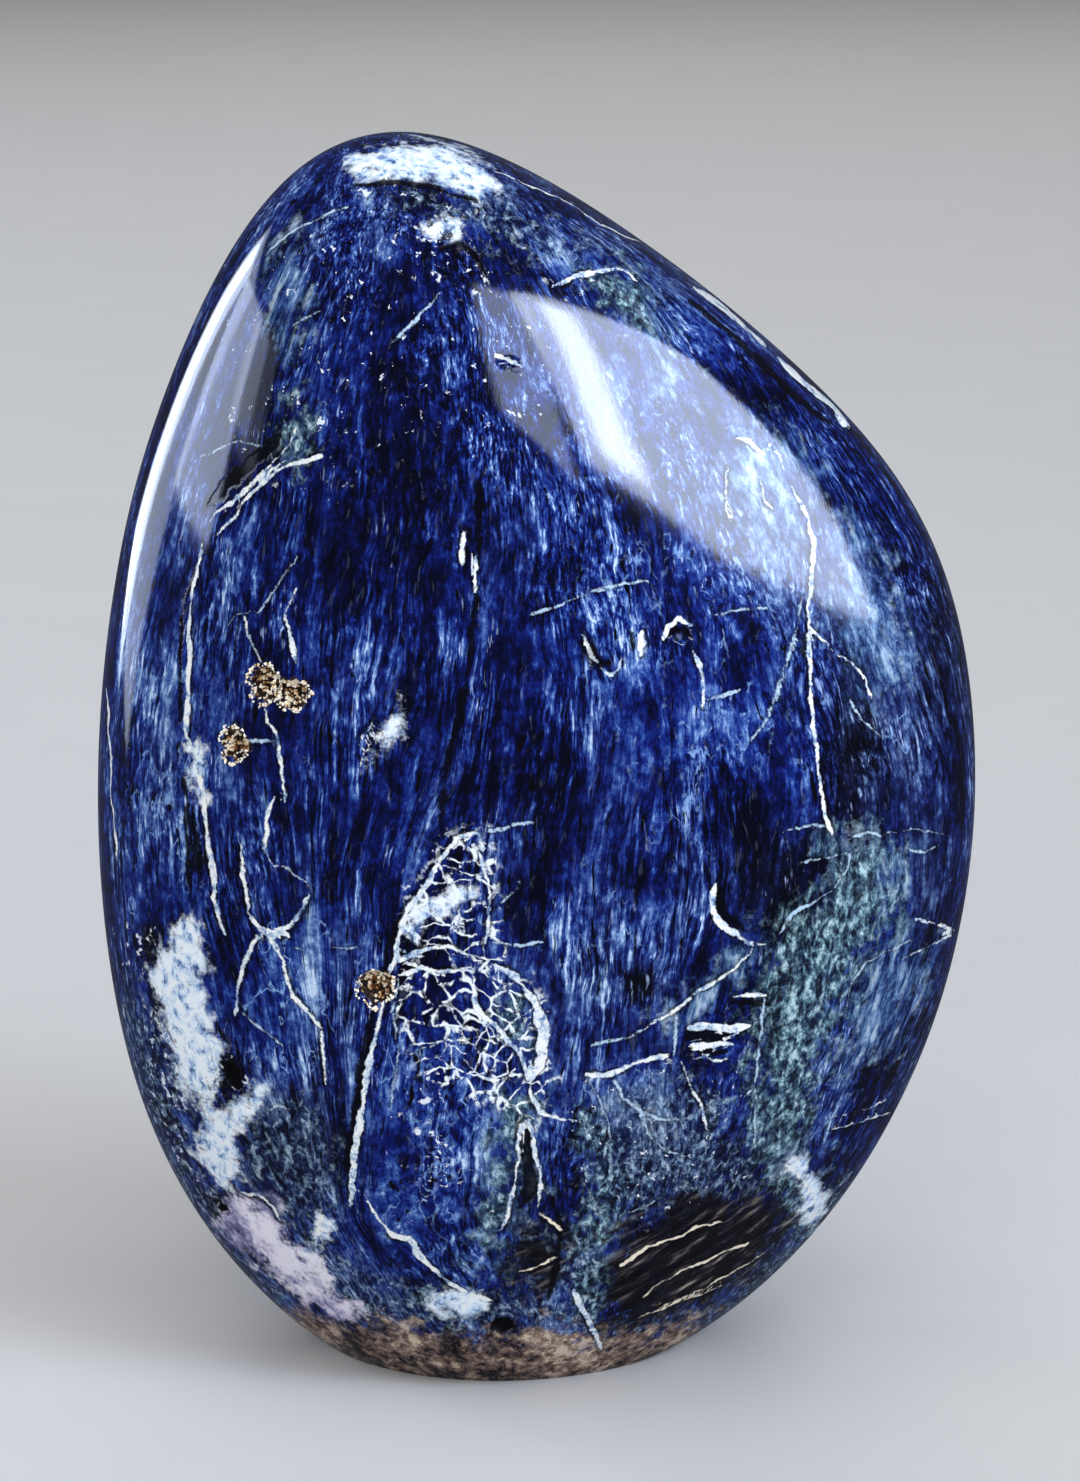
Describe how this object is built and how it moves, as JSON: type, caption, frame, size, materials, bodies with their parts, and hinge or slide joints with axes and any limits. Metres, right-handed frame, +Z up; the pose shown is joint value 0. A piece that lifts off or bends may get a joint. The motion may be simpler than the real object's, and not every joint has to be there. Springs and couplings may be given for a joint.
{
  "type": "polished dumortierite stone",
  "caption": "Egg-shaped blue stone, ground and polished all over, that stands upright on a small flat spot as a display piece.",
  "frame": {"origin": "middle of the stone's footprint, on the surface that it stands on", "axes": "+Z up through the stone's long way, +X to the right of the showing face, and the showing face looks along -Y"},
  "size_m": [0.0716, 0.0434, 0.1015],
  "materials": {
    "stone": "polished"
  },
  "bodies": {
    "root": {"stone": "stone"}
  },
  "joints": []
}
